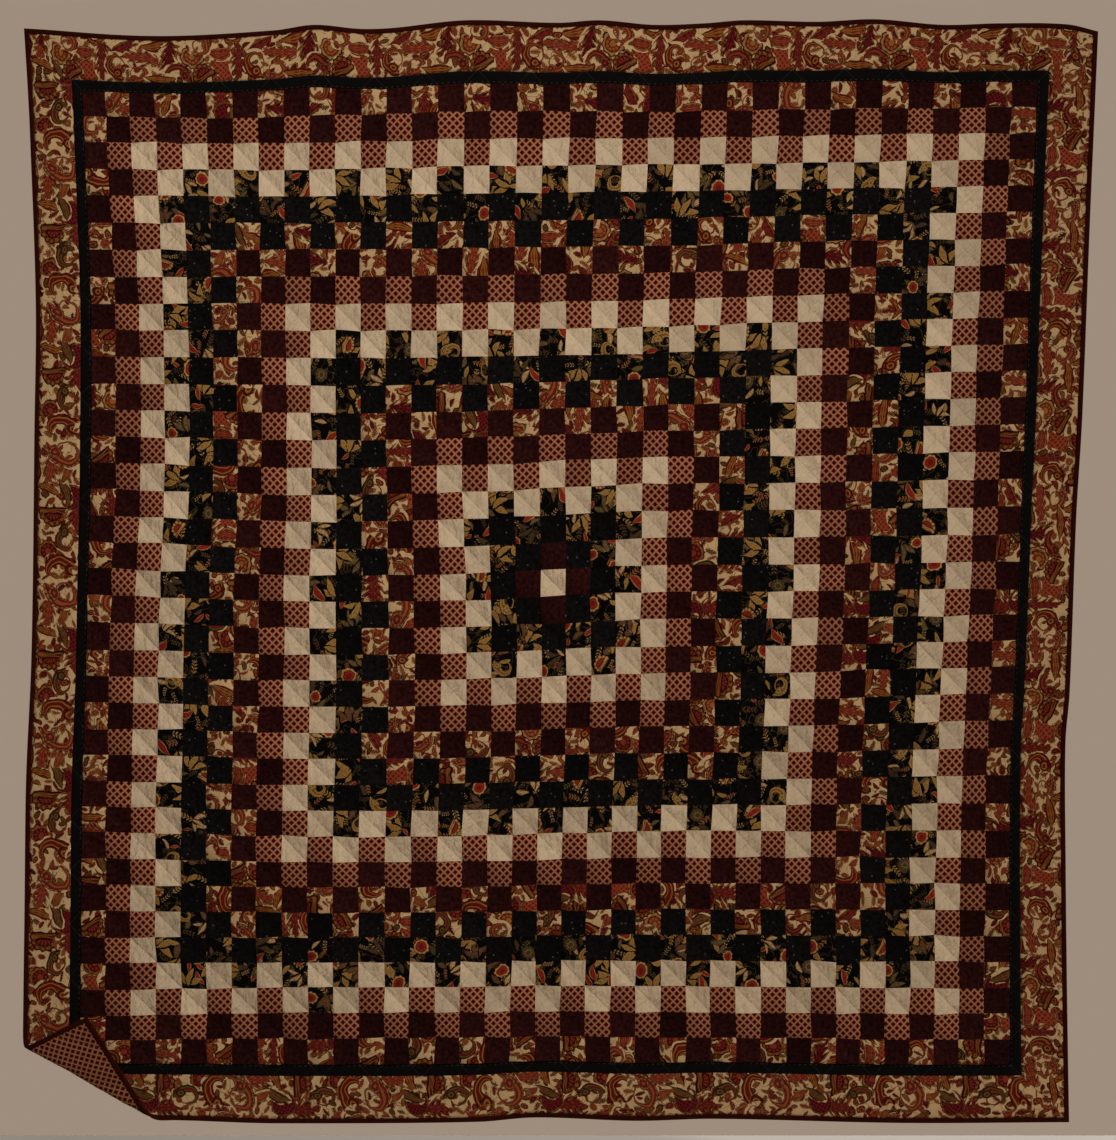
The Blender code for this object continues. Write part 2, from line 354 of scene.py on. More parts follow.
def shaded(tree, colour, value):
    # a colour made lighter or darker
    return wired(tree, "HueSaturation", {"Value": value, "Color": colour})


def noise(place, scale, detail, output=0):
    sockets = {"Vector": place, "Scale": scale, "Detail": detail}
    return wired(place.tree, "TexNoise", sockets, output=output)


def stepped(value, colours):
    # one of several colours, for a value from 0 to 1
    node = value.tree.nodes.new("ShaderNodeValToRGB")
    node.color_ramp.interpolation = "CONSTANT"
    elements = node.color_ramp.elements
    while len(elements) < len(colours):
        elements.new(0.5)
    for i, colour in enumerate(colours):
        elements[i].position = i / len(colours)
        elements[i].color = (*colour, 1.0)
    plug(value.tree, node.inputs[0], value)
    return Wire(value.tree, node.outputs[0])


# How every cloth of the quilt is finished. Entries ending in Places are waves to a metre.
finish = {
    "surface": {"Roughness": 0.95, "Specular IOR Level": 0.03, "Sheen Weight": 0.015,
                "Sheen Roughness": 0.5},
    "threads": 0.0009,  # from one thread to the next but one
    "threadHeight": 0.00003,
    "threadShade": 0.05,
    "wrinkleSize": 0.016,
    "wrinkleShape": (1.0, 0.55, 1.0),
    "pullSize": 0.0062,
    "pullShape": 0.22,  # how wide a pull is for its length
    "pullPlaces": 14.0,
    "stitch": 0.0046,  # from one quilting stitch to the next
    "stitchHeight": 0.0003,
    "stitchReach": (0.0004, 0.0002),  # how far from its line, and how softly it ends
    "trough": 0.0005,  # how deep the quilting draws the cloth in
    "troughReach": (0.0012, 0.0010),
    "creases": (0.0007, 0.0002),  # how deep the light squares crease along each diagonal
    "creaseReach": (0.0030, 0.0029),
    "worn": 0.24,
    "wornPlaces": 30.0,
    "darkest": 0.88,
}


def newCloth(name):
    material = bpy.data.materials.new(name)
    material.use_nodes = True
    tree = material.node_tree
    for socket, value in finish["surface"].items():
        tree.nodes["Principled BSDF"].inputs[socket].default_value = value
    return material, wired(tree, "UVMap", (), uv_map="cloth")


def quiltingLines(cloth):
    # stitches along both diagonals: how far from a line, and where along it
    u, v, _ = parts(cloth)
    lines = []
    for across, along in ((u - v, u + v), (u + v, u - v)):
        off = (across / (2 * square)).math("FRACT") - 0.5
        off = 0.5 - off.math("ABSOLUTE")
        lines.append((off * (2 * square / math.sqrt(2)), along))
    return lines


def finishCloth(cloth, colour, wrinkles, thread, threadShare, quilted=True, pulls=0.0):
    # weave, wrinkles, diagonal pulls and quilting stitches over a cloth's colour
    tree = cloth.tree
    shader = tree.nodes["Principled BSDF"]
    u, v, _ = parts(cloth)
    threads = finish["threads"]
    warp = (u * (2 * math.pi / threads)).math("SINE")
    weft = (v * (2 * math.pi / threads)).math("SINE")
    weave = warp * weft
    drawnOut = vector(tree, "MULTIPLY", cloth, finish["wrinkleShape"])
    height = noise(drawnOut, 1 / finish["wrinkleSize"], 3.0) * wrinkles
    height = height + weave * finish["threadHeight"]
    if pulls:
        streaks = noise(joined(u + v, (u - v) * finish["pullShape"]), 1 / finish["pullSize"], 1.5)
        where = above(noise(cloth, finish["pullPlaces"], 0.0), 0.42, 0.12)
        height = height + streaks * where * pulls
    if quilted:
        for crease, (off, along) in zip(finish["creases"], quiltingLines(cloth)):
            if pulls:
                height = height - below(off, *finish["creaseReach"]) * crease
            dash = above((along * (2 * math.pi / finish["stitch"])).math("SINE"), -0.1, 0.3)
            seen = below(off, *finish["stitchReach"]) * dash
            colour = mixed(seen * threadShare, colour, thread)
            trough = below(off, *finish["troughReach"]) * finish["trough"]
            height = height - trough + seen * finish["stitchHeight"]
    worn = noise(cloth, finish["wornPlaces"], 4.0) * finish["worn"]
    brightness = worn + weave * finish["threadShade"] + finish["darkest"]
    bump = wired(tree, "Bump", {"Height": height, "Distance": 1.0, "Strength": 1.0})
    plug(tree, shader.inputs["Base Color"], shaded(tree, colour, brightness))
    plug(tree, shader.inputs["Normal"], bump)


def patchOf(cloth):
    # a random number for the square that a place is in, and three more as a colour
    tree = cloth.tree
    counted = vector(tree, "MULTIPLY_ADD", cloth, (1 / square, 1 / square, 0.0), (0.5, 0.5, 0.0))
    cell = {"Vector": vector(tree, "FLOOR", counted)}
    chance = wired(tree, "TexWhiteNoise", cell, noise_dimensions="2D")
    return chance, Wire(tree, chance.socket.node.outputs["Color"])


# The plain cloths. The spread is how much their squares differ.
plainCloths = {
    "light": {"colour": (0.538, 0.407, 0.267), "spread": 0.24, "wrinkles": 0.0080, "pulls": 0.0038,
              "thread": (0.36, 0.27, 0.17), "threadShare": 0.3, "flecks": 0.0},
    "black": {"colour": (0.0041, 0.0034, 0.0032), "spread": 0.6, "wrinkles": 0.0040, "pulls": 0.0,
              "thread": (0.095, 0.093, 0.085), "threadShare": 0.05, "flecks": 0.7},
    "deepRed": {"colour": (0.0180, 0.0035, 0.0031), "spread": 0.6, "wrinkles": 0.0040, "pulls": 0.0,
                "thread": (0.060, 0.024, 0.022), "threadShare": 0.05, "flecks": 0.25},
    "wine": {"colour": (0.0200, 0.0036, 0.0032), "spread": 0.2, "wrinkles": 0.0040, "pulls": 0.0,
             "thread": (0.060, 0.024, 0.022), "threadShare": 0.05, "flecks": 0.25},
}
fleckedCloth = {
    "mottlePlaces": 130.0,
    "mottle": (3.2, -0.6),  # how strong it is, and how far it is darkened
    "fleckPlaces": 100.0,
    "fleckSize": (0.15, 0.04),
    "fleckChance": (0.62, 0.02),
}


def plainCloth(name):
    look = plainCloths[name]
    material, cloth = newCloth(name)
    tree = cloth.tree
    chance, _ = patchOf(cloth)
    value = chance * look["spread"] + (1 - look["spread"] / 2)
    if look["flecks"]:
        strength, darker = fleckedCloth["mottle"]
        value = value * (noise(cloth, fleckedCloth["mottlePlaces"], 3.0) * strength + darker)
    base = shaded(tree, (*look["colour"], 1.0), value)
    if look["flecks"]:
        cells = {"Vector": cloth, "Scale": fleckedCloth["fleckPlaces"]}
        away = wired(tree, "TexVoronoi", cells)
        chosen, _, _ = parts(wired(tree, "TexVoronoi", cells, output=1))
        fleck = below(away, *fleckedCloth["fleckSize"])
        fleck = fleck * above(chosen, *fleckedCloth["fleckChance"])
        base = mixed(fleck * look["flecks"], base, look["thread"])
    finishCloth(cloth, base, look["wrinkles"], look["thread"], look["threadShare"],
                pulls=look["pulls"])
    return material


# The lattice print: tan lines crossing over dark maroon, with a dark diamond in each opening
latticePrint = {
    "pitch": 0.0150,
    "lineReach": (0.13, 0.07),
    "lineWear": (0.6, 0.62),  # how uneven a line is, and how clear at its weakest
    "wearPlaces": 500.0,
    "diamondReach": (0.62, 0.06),
    "sway": 0.12,
    "swayPlaces": 160.0,
    "ground": (0.115, 0.0070, 0.0020),
    "diamond": (0.032, 0.0008, 0.0005),
    "line": (0.318, 0.150, 0.074),
    "thread": (0.35, 0.16, 0.08),
    "threadShare": 0.3,
    "wrinkles": 0.0016,
    "cut": 0.05,  # how far apart the squares' cuts of the print lie
    # the backing's brightness, darker as painted shade on the turned corner; for the squares, the
    # lowest of their random tones
    "value": 0.85,
    "spread": 0.30,
}


def latticeCloth(name, inPatches):
    # in patches, each square is another cut of the print, and lighter or darker; without patches,
    # as on the backing, the whole print is darkened as painted shade for the turned corner
    look = latticePrint
    material, cloth = newCloth(name)
    tree, spot, value = cloth.tree, cloth, look["value"]
    if inPatches:
        chance, chances = patchOf(cloth)
        spot = vector(tree, "MULTIPLY_ADD", chances, (look["cut"],) * 3, cloth)
        value = chance * look["spread"] + value
    u, v, _ = parts(spot)
    sway = noise(spot, look["swayPlaces"], 1.0) * look["sway"] - look["sway"] / 2
    gaps = []
    for slant in (u + v, u - v):
        across = (slant / look["pitch"] + sway).math("FRACT")
        gaps.append(0.5 - (across - 0.5).math("ABSOLUTE"))
    ground = mixed(above(gaps[0] + gaps[1], *look["diamondReach"]), look["ground"], look["diamond"])
    uneven, weakest = look["lineWear"]
    line = below(gaps[0].math("MINIMUM", gaps[1]), *look["lineReach"])
    line = line * (noise(spot, look["wearPlaces"], 1.0) * uneven + weakest)
    colour = shaded(tree, mixed(line.math("MINIMUM", 1.0), ground, look["line"]), value)
    finishCloth(cloth, colour, look["wrinkles"], look["thread"], look["threadShare"])
    return material


# The flowered prints. A row is kind, tone, along, across, half length, half width and turn,
# in millimetres and degrees, and a negative half width mirrors the motif. A tone is its
# halo, its main colour and its accent. A spray is tone, along, across, turn and half length
# of its leaves. Fillers are strewn over the ground under the motifs.
paisleyPrint = {
    "repeat": (0.272, 0.190),
    "grow": 1.14,
    "ground": (0.465, 0.305, 0.146),
    "outline": (0.015, 0.0014, 0.0004),
    "stems": (0.120, 0.020, 0.010),
    "stemWidth": 0.006,
    "wrinkles": 0.0016,
    "tones": {
        "wine": ((0.200, 0.056, 0.014), (0.078, 0.0036, 0.0052), (0.170, 0.026, 0.012)),
        "red": ((0.290, 0.108, 0.034), (0.150, 0.0080, 0.0085), (0.220, 0.060, 0.015)),
        "gold": ((0.125, 0.0070, 0.0065), (0.235, 0.088, 0.014), (0.110, 0.0055, 0.0060)),
        "olive": ((0.040, 0.020, 0.006), (0.105, 0.064, 0.014), (0.120, 0.0070, 0.0075)),
        "dark": ((0.220, 0.066, 0.018), (0.034, 0.0030, 0.0040), (0.140, 0.0090, 0.0090)),
        "rust": ((0.280, 0.120, 0.036), (0.190, 0.022, 0.011), (0.240, 0.085, 0.018)),
    },
    "fillers": {"apart": 0.017, "kinds": ("leaf", "jagged", "rosette"), "size": (10.5, 6.5)},
    "motifs": (
        ("leaf", "gold", 143, 10, 24, 12, 20), ("leaf", "dark", 160, 28, 24, 11, 50),
        ("leaf", "red", 16, 80, 24, 12, 110), ("scroll", "gold", 64, 88, 34, 24, 80),
        ("rosette", "wine", 22, 12, 22, 20, 0), ("fan", "wine", 100, 20, 27, 26, 90),
        ("jagged", "wine", 84, 70, 27, 26, 95), ("net", "dark", 128, 60, 23, 22, 20),
        ("leaf", "olive", 138, 44, 24, 12, 65), ("jagged", "red", 184, 14, 28, 22, 100),
        ("leaf", "rust", 180, 46, 24, 13, 105), ("jagged", "wine", 226, 82, 25, 15, 150),
        ("leaf", "rust", 200, 74, 20, 10, 40), ("comma", "gold", 256, 42, 42, 30, 200),
        ("comma", "red", 216, 42, 38, 28, 25), ("comma", "wine", 262, 84, 21, 18, 330),
        ("comma", "olive", 48, 48, 26, 22, 100), ("net", "red", 26, 153, 27, 25, 0),
        ("leaf", "red", 20, 122, 22, 16, 90), ("jagged", "wine", 56, 141, 32, 18, 0),
        ("leaf", "wine", 101, 110, 24, 16, 60), ("comma", "gold", 90, 148, 27, -24, 150),
        ("jagged", "red", 140, 130, 34, 18, 98), ("comma", "red", 128, 163, 24, 20, 250),
        ("leaf", "gold", 170, 104, 30, 15, 80), ("jagged", "dark", 192, 131, 32, 20, 10),
        ("comma", "wine", 210, 166, 28, 24, 120), ("rosette", "rust", 238, 128, 22, 21, 0),
        ("comma", "red", 252, 104, 24, -21, 320), ("leaf", "gold", 174, 172, 28, 12, 95),
        ("fan", "wine", 262, 168, 25, 22, 150),
    ),
    "sprays": (),
}

floralPrint = {
    "repeat": (0.236, 0.222),
    "grow": 1.24,
    "ground": (0.0021, 0.0018, 0.0016),
    "outline": (0.030, 0.012, 0.004),
    "stems": (0.060, 0.040, 0.016),
    "stemWidth": 0.005,
    "wrinkles": 0.0012,
    "tones": {
        "red": ((0.4216, 0.1984, 0.062), (0.2666, 0.0186, 0.0105), (0.1364, 0.0074, 0.0062)),
        "gold": ((0.4092, 0.2356, 0.0744), (0.3534, 0.1885, 0.0422), (0.1736, 0.0595, 0.0124)),
        "cream": ((0.186, 0.0868, 0.0273), (0.4712, 0.31, 0.1426), (0.2356, 0.0868, 0.0273)),
        "olive": ((0.0682, 0.0471, 0.0174), (0.1488, 0.0992, 0.0372), (0.0496, 0.0273, 0.0099)),
        "dusk": ((0.0322, 0.0198, 0.0099), (0.0694, 0.0446, 0.0198), (0.0298, 0.0124, 0.0062)),
        "brown": ((0.124, 0.0645, 0.0248), (0.0794, 0.0273, 0.0124), (0.1364, 0.0794, 0.0298)),
    },
    "fillers": {"apart": 0.022, "kinds": ("sprig", "leaf", "sprig"), "size": (13, 7)},
    "motifs": (
        ("rosette", "red", 104, 40, 15, 14, 0), ("leaf", "red", 16, 58, 15, 9, 75),
        ("comma", "gold", 170, 24, 19, 15, 40), ("fan", "red", 206, 80, 16, 15, 200),
        ("rosette", "olive", 66, 104, 12, 11, 0), ("leaf", "red", 140, 122, 16, 9, 330),
        ("rosette", "red", 196, 124, 14, 13, 0), ("comma", "gold", 38, 140, 20, -15, 250),
        ("fan", "red", 108, 178, 16, 15, 30), ("rosette", "red", 170, 170, 11, 10, 0),
        ("rosette", "red", 54, 204, 13, 12, 0), ("leaf", "red", 222, 206, 16, 9, 140),
    ),
    "sprays": (
        ("gold", 22, 30, 20, 15), ("gold", 70, 60, 200, 14), ("cream", 150, 70, 120, 12),
        ("gold", 214, 42, 300, 15), ("olive", 128, 18, 160, 14), ("gold", 28, 106, 60, 15),
        ("gold", 110, 118, 340, 16), ("olive", 165, 140, 80, 14), ("gold", 222, 162, 200, 15),
        ("gold", 85, 160, 110, 15), ("brown", 50, 172, 260, 14), ("gold", 140, 200, 30, 15),
        ("dusk", 195, 205, 150, 14), ("cream", 20, 214, 330, 12),
    ),
}


def sprays(look):
    # the leaves of each spray, spread from its foot
    leaning, slender = (-52, 52, 0), 0.46
    rows = []
    for tone, along, across, turn, length in look["sprays"]:
        for lean in leaning:
            way = math.radians(turn + lean)
            left, high = along - length * math.sin(way), across + length * math.cos(way)
            rows.append(("leaf", tone, left, high, length, length * slender, turn + lean))
    return tuple(rows)


# The shapes of the motifs, in a circle of radius 1. Each gives how deep inside the motif
# a place is, from 0 at its edge to about 1, and how much of its fine drawing is there.
commaShape = {
    "headGrows": 9.0,
    "taper": 1.9,
    "fullness": 0.62,
    "thinnest": 0.05,
    "outside": 0.97,
    "winding": 0.56,
    "eye": (-0.28, -0.36),
    "eyeRadius": 0.34,
    "beads": 22.0,
    "beadDepth": 0.38,
}


def comma(x, y, radius, angle):
    # a drop whose outer edge winds inwards to its curled tail, with an eye in its head
    look = commaShape
    turn = angle / (2 * math.pi) + 0.5
    head = (turn * look["headGrows"]).math("MINIMUM", 1.0).math("POWER", 0.5)
    width = (1 - turn).math("POWER", look["taper"]) * look["fullness"] * head
    width = width.math("MAXIMUM", look["thinnest"])
    middle = look["outside"] - turn * turn * look["winding"] - width
    depth = 1 - (radius - middle).math("ABSOLUTE") / width
    x, y = x - look["eye"][0], y - look["eye"][1]
    inEye = 1 - (x * x + y * y).math("SQRT") / look["eyeRadius"]
    seen = inEye.math("GREATER_THAN", 0.0)
    depth = depth + (inEye - depth) * seen
    beads = above((angle * look["beads"]).math("SINE"), 0.1, 0.4)
    return depth, beads * below(depth, look["beadDepth"], 0.02)


def rosette(x, y, radius, angle):
    # a round flower with a scalloped rim
    scallops = (angle * 9.0).math("SINE")
    depth = 1 - radius * (scallops * 0.06 + 1.05)
    return depth, above(scallops, 0.1, 0.4) * near(radius, 0.52, 0.18, 0.04)


def fan(x, y, radius, angle):
    # a half round of petals
    petals = (angle * 13.0).math("SINE")
    depth = (1 - radius * (petals * 0.05 + 1.04)).math("MINIMUM", (y + 0.30) * 0.8)
    return depth, above(petals, 0.0, 0.3)


def leaf(x, y, radius, angle):
    # a bent leaf with veins
    full = 1 - y * y
    side = (x - (full * 0.36 - 0.18)).math("ABSOLUTE")
    depth = 1 - side / (full * 0.72).math("MAXIMUM", 0.02)
    veins = above(((y + side * 1.3) * 13.0).math("SINE"), 0.35, 0.3) * 0.7
    return depth, veins.math("MAXIMUM", below(side, 0.08, 0.03))


def jagged(x, y, radius, angle):
    # a leaf with saw teeth, a midrib and a vein to each tooth
    full = 1 - y * y
    side = x.math("ABSOLUTE")
    teeth = ((y - side * 0.5) * 2.4).math("FRACT")
    reach = full.math("MAXIMUM", 0.0).math("POWER", 0.6) * (teeth * 0.62 + 0.30)
    depth = 1 - side / reach.math("MAXIMUM", 0.02)
    return depth, below(side, 0.07, 0.03).math("MAXIMUM", near(teeth, 0.5, 0.12, 0.05))


def net(x, y, radius, angle):
    # a disc filled with crossing lines
    lines = []
    for slant in (x + y, x - y):
        lines.append(near((slant * 2.8).math("FRACT"), 0.5, 0.15, 0.07))
    return ((1 - radius) * 2.5).math("MINIMUM", 0.55), lines[0].math("MAXIMUM", lines[1])


def scroll(x, y, radius, angle):
    # a beaded band that sways to both sides
    side = (x - (y * 2.9).math("SINE") * 0.5).math("ABSOLUTE")
    return 1 - side / 0.26, above((y * 26.0).math("SINE"), 0.0, 0.4)


def sprig(x, y, radius, angle):
    # a stalk with small leaves on both sides
    side = x.math("ABSOLUTE")
    leaflets = (y * 15.0 - side * 6.0).math("SINE") * 0.6 + 0.15
    leaflets = leaflets - (side - 0.36).math("ABSOLUTE") * 2.3
    return leaflets.math("MAXIMUM", 0.5 - side * 11.0), side * 0.0


shapes = {"comma": comma, "rosette": rosette, "fan": fan, "leaf": leaf, "jagged": jagged,
          "net": net, "scroll": scroll, "sprig": sprig}


def strewn(spot, look):
    # small motifs, one in each cell of the ground: the place within it, its kind and its tone
    tree = spot.tree
    fillers = look["fillers"]
    cells = {"Vector": spot, "Scale": 1 / fillers["apart"], "Randomness": 0.8}
    chances = wired(tree, "TexVoronoi", cells, output=1, voronoi_dimensions="2D")
    middle = Wire(tree, chances.socket.node.outputs["Position"])
    chance, tone, size = parts(chances)
    u, v, _ = parts(vector(tree, "SUBTRACT", spot, middle))
    turn = chance * 40.0
    cosine, sine = turn.math("COSINE"), turn.math("SINE")
    grow = size * 0.5 + 0.75
    x = (u * cosine + v * sine) / (grow * (fillers["size"][1] / 1000))
    y = (v * cosine - u * sine) / (grow * (fillers["size"][0] / 1000))
    kinds = [list(shapes).index(kind) for kind in fillers["kinds"]]
    number = float(kinds[0])
    for i in range(1, len(kinds)):
        number = number + chance.math("GREATER_THAN", i / len(kinds)) * (kinds[i] - kinds[i - 1])
    return x, y, number, tone


def placed(spot, rows, look):
    # the same for the last motif that covers a spot. The spot's third number is 1, so that one
    # product also moves the motif to its place.
    tree = spot.tree
    wide, tall = look["repeat"]
    kinds, tones = list(shapes), list(look["tones"])
    top = None
    grow = look["grow"] / 1000
    for kind, tone, along, across, length, width, turn in rows:
        left, high = along / 1000, across / 1000
        ends = (left + wide / 2, high + tall / 2, 2.0), (left - wide / 2, high - tall / 2, 0.0)
        wrapped = vector(tree, "WRAP", spot, *ends)
        cosine, sine = math.cos(math.radians(turn)), math.sin(math.radians(turn))
        sides = []
        for x, y, size in ((cosine, sine, width * grow), (-sine, cosine, length * grow)):
            weights = (x / size, y / size, -(x * left + y * high) / size)
            sides.append(vector(tree, "DOT_PRODUCT", wrapped, weights, output=1))
        code = kinds.index(kind) + (tones.index(tone) + 0.5) / 10
        local = joined(*sides, code / 1000)
        if top is None:
            top = local
            continue
        inside = vector(tree, "LENGTH", local, output=1).math("LESS_THAN", 1.0)
        choice = {0: inside, 4: top, 5: local}
        top = wired(tree, "Mix", choice, output=1, data_type="VECTOR")
    x, y, code = parts(top)
    code = code * 1000.0
    return x, y, code.math("FLOOR"), code.math("FRACT") * (10.0 / len(tones))


brush = {
    "bands": (0.02, 0.13, 0.33, 0.43, 0.68, 0.74),  # how deep each band of a motif begins
    "bandBlur": 0.025,
    "drawing": 0.85,
    "outlineDrawing": (0.23, 0.07, 0.03),  # around this depth, this far, with this blur
    "accentDrawing": (0.54, 0.12, 0.03),
    "middleDrawing": (0.75, 0.03),
    "sway": 0.010,
    "swayPlaces": 42.0,
    "stemPlaces": 34.0,
    "stemBlur": 0.005,
}


def painted(colour, kinds, motif, look):
    # a layer of motifs over a colour: nested bands, with each kind's own drawing in them
    x, y, number, tone = motif
    radius = (x * x + y * y).math("SQRT")
    angle = x.math("ARCTAN2", y)
    depth = drawn = None
    for index, (kind, shape) in enumerate(shapes.items()):
        if kind not in kinds:
            continue
        chosen = number.math("COMPARE", float(index), 0.5)
        inside, drawing = shape(x, y, radius, angle)
        depth = inside * chosen if depth is None else chosen.math("MULTIPLY_ADD", inside, depth)
        drawn = drawing * chosen if drawn is None else chosen.math("MULTIPLY_ADD", drawing, drawn)
    depth = depth.math("MINIMUM", (1 - radius) * 6.0)
    halo, main, accent = (stepped(tone, colours) for colours in zip(*look["tones"].values()))
    line = look["outline"]
    for edge, inside in zip(brush["bands"], (line, halo, line, main, line, accent)):
        colour = mixed(above(depth, edge, brush["bandBlur"]), colour, inside)
    for where, inside in (
        (near(depth, *brush["outlineDrawing"]), line),
        (near(depth, *brush["accentDrawing"]), accent),
        (above(depth, *brush["middleDrawing"]), main),
    ):
        colour = mixed(drawn * where * brush["drawing"], colour, inside)
    return colour


def drawPrint(name, look):
    # a whole print as one node group, from a place on it to its colour
    group = bpy.data.node_groups.new(name, "ShaderNodeTree")
    group.interface.new_socket("place", in_out="INPUT", socket_type="NodeSocketVector")
    group.interface.new_socket("colour", in_out="OUTPUT", socket_type="NodeSocketColor")
    spot = Wire(group, group.nodes.new("NodeGroupInput").outputs[0])
    sway = noise(spot, brush["swayPlaces"], 1.0, output=1)
    sway = vector(group, "SUBTRACT", sway, (0.5, 0.5, 0.5))
    u, v, _ = parts(vector(group, "MULTIPLY_ADD", sway, (brush["sway"], brush["sway"], 0.0), spot))
    spot = joined(u, v, 1.0)
    stems = noise(spot, brush["stemPlaces"], 1.5)
    stems = near(stems, 0.5, look["stemWidth"], brush["stemBlur"])
    colour = mixed(stems, look["ground"], look["stems"])
    colour = painted(colour, look["fillers"]["kinds"], strewn(spot, look), look)
    rows = sprays(look) + look["motifs"]
    colour = painted(colour, {row[0] for row in rows}, placed(spot, rows, look), look)
    plug(group, group.nodes.new("NodeGroupOutput").inputs[0], colour)
    return group


prints = {
    "paisley": drawPrint("paisleyPrint", paisleyPrint),
    "floral": drawPrint("floralPrint", floralPrint),
}
printFinish = {"thread": (0.25, 0.17, 0.10), "threadShare": 0.25}


def printColour(spot, name):
    return wired(spot.tree, "Group", (spot,), node_tree=prints[name])


def printedPatches(name, look):
    # each square is another cut of the print, some of them turned
    material, cloth = newCloth(f"{name}Patch")
    tree = cloth.tree
    chance, chances = patchOf(cloth)
    quarter = (chance * 4.0).math("FLOOR") * (math.pi / 2)
    turned = {"Vector": cloth, "Angle": quarter}
    turned = wired(tree, "VectorRotate", turned, rotation_type="Z_AXIS")
    spot = vector(tree, "MULTIPLY_ADD", chances, (*look["repeat"], 0.0), turned)
    finishCloth(cloth, printColour(spot, name), look["wrinkles"], **printFinish)
    return material


print("cloths")
cloths = {name: plainCloth(name) for name in plainCloths}
cloths["lattice"] = latticeCloth("latticePatch", True)
cloths["floral"] = printedPatches("floral", floralPrint)
cloths["paisley"] = printedPatches("paisley", paisleyPrint)


# The pieced top: rings of plain squares and of printed squares, which alternate
piecedTop = {
    "plainRings": "LKKLLRRKKLLRRKKLLRR",  # from the middle outwards
    "printRings": "-WFFTTPPFFTTPPFFTTP",
    "letters": {"L": "light", "K": "black", "R": "deepRed", "W": "wine",
                "T": "lattice", "F": "floral", "P": "paisley"},
    "mistake": (-9, 16),  # one square was pieced with the flowers of the ring before
    "lines": (0.0, 0.03, 0.12, 0.30, 0.50, 0.70, 0.88, 0.97),  # divisions of a square
    "low": 0.0015,
    "high": 0.0098,
    "seamDepth": 0.0007,
    "seamWidth": 0.0016,
    "unevenness": 0.0009,  # how far a seam crossing strays
    "strayDraw": 7,
    "ripple": 0.00028,
    "ripples": (0.011, 0.06, 26, 3),
    "hem": -0.0009,
}


def clothAt(i, j):
    ring = max(abs(i), abs(j))
    if (i, j) == piecedTop["mistake"]:
        return "floral"
    rings = piecedTop["printRings"] if (i + j) % 2 else piecedTop["plainRings"]
    return piecedTop["letters"][rings[ring]]


def seams(across, down):
    # 1 along the seams between squares
    lines = 0 * across
    for value in (across, down):
        off = (value / square) % 1 - 0.5
        lines = np.maximum(lines, np.exp(-(off * square / piecedTop["seamWidth"]) ** 2))
    return lines


def strayed(across, down):
    # seam crossings stray a little, and the squares between them follow
    random = np.random.default_rng(piecedTop["strayDraw"])
    count = quilt["squares"] + 1
    stray = random.normal(0, piecedTop["unevenness"], (2, count, count))
    stray[0, :, (0, -1)] = 0
    stray[1, (0, -1), :] = 0
    column = np.clip((across + fieldEdge) / square, 0, count - 1 - 1e-6)
    row = np.clip((down + fieldEdge) / square, 0, count - 1 - 1e-6)
    i, j = column.astype(int), row.astype(int)
    s, t = column - i, row - j
    moved = []
    for value, table in ((across, stray[0]), (down, stray[1])):
        upper = table[j, i] * (1 - s) + table[j, i + 1] * s
        lower = table[j + 1, i] * (1 - s) + table[j + 1, i + 1] * s
        moved.append(value + upper * (1 - t) + lower * t)
    return moved


def makePiecedTop():
    look = piecedTop
    lines = []
    for i in range(-half, half + 1):
        lines += [(i - 0.5 + share) * square for share in look["lines"]]
    lines = np.array([-fieldEdge, *lines, fieldEdge, fieldEdge])  # the outermost lines are the hem
    flatAcross, flatDown = np.meshgrid(lines, lines)
    layer = look["low"] + (look["high"] - look["low"]) * quilting(flatAcross, flatDown)
    layer -= look["seamDepth"] * seams(flatAcross, flatDown)
    layer += look["ripple"] * ripples(flatAcross, flatDown, *look["ripples"])
    for edge in (0, -1):
        layer[edge, :] = look["hem"]
        layer[:, edge] = look["hem"]
    across, down = strayed(flatAcross, flatDown)
    sheet = clothSheet("quiltTop", "root", across, down, layer, (flatAcross, flatDown))
    names = list(cloths)
    for name in names:
        sheet.data.materials.append(cloths[name])
    middles = np.rint(facePlaces(sheet) / square).astype(int).clip(-half, half)
    chosen = [names.index(clothAt(i, j)) for i, j in middles.tolist()]
    sheet.data.polygons.foreach_set("material_index", chosen)
    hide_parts("pieced_centre")


makePiecedTop()
print("pieced top")


# The four sides of the frames round the quilt, mitred at the corners
sides = ("top", "right", "bottom", "left")
borders = {
    "along": 0.0085,  # from one line of points to the next, as a share of half a side
    "cornerAlong": 0.004,  # the same near the turned corner
    "cornerFrom": 0.76,
    "fineEnds": {"left": 1, "bottom": -1},  # the ends that meet at the turned corner
    "overlap": 0.0045,  # how far the black strip reaches over the seam
    "steps": {"inner": 6, "outer": 16},
    "hem": -0.0009,
    "seam": 0.0014,
    "front": 0.0026,
    "crown": 6,
    "puff": 0.0010,
    "ripple": 0.00035,
    "ripples": (0.011, 0.06, 26, 5),
    "prints": {  # the print's two directions in u and v, and where it starts
        "left": ((0, 1), (1, 0), 0.541, outerEdge),
        "bottom": ((-1, 0), (0, 1), 0.410, -innerEdge),
        "top": ((1, 0), (0, 1), 0.949, outerEdge + 0.095),
        "right": ((0, -1), (1, 0), -0.304, 0.095 - innerEdge),
    },
}


def paisleyBorder(name, along, across, start, inset):
    # along and across: how much of u and v makes the print's own directions
    material, cloth = newCloth(name)
    u, v, _ = parts(cloth)
    spot = joined(u * along[0] + v * along[1] + start, u * across[0] + v * across[1] + inset)
    finishCloth(cloth, printColour(spot, "paisley"), paisleyPrint["wrinkles"], **printFinish)
    return material


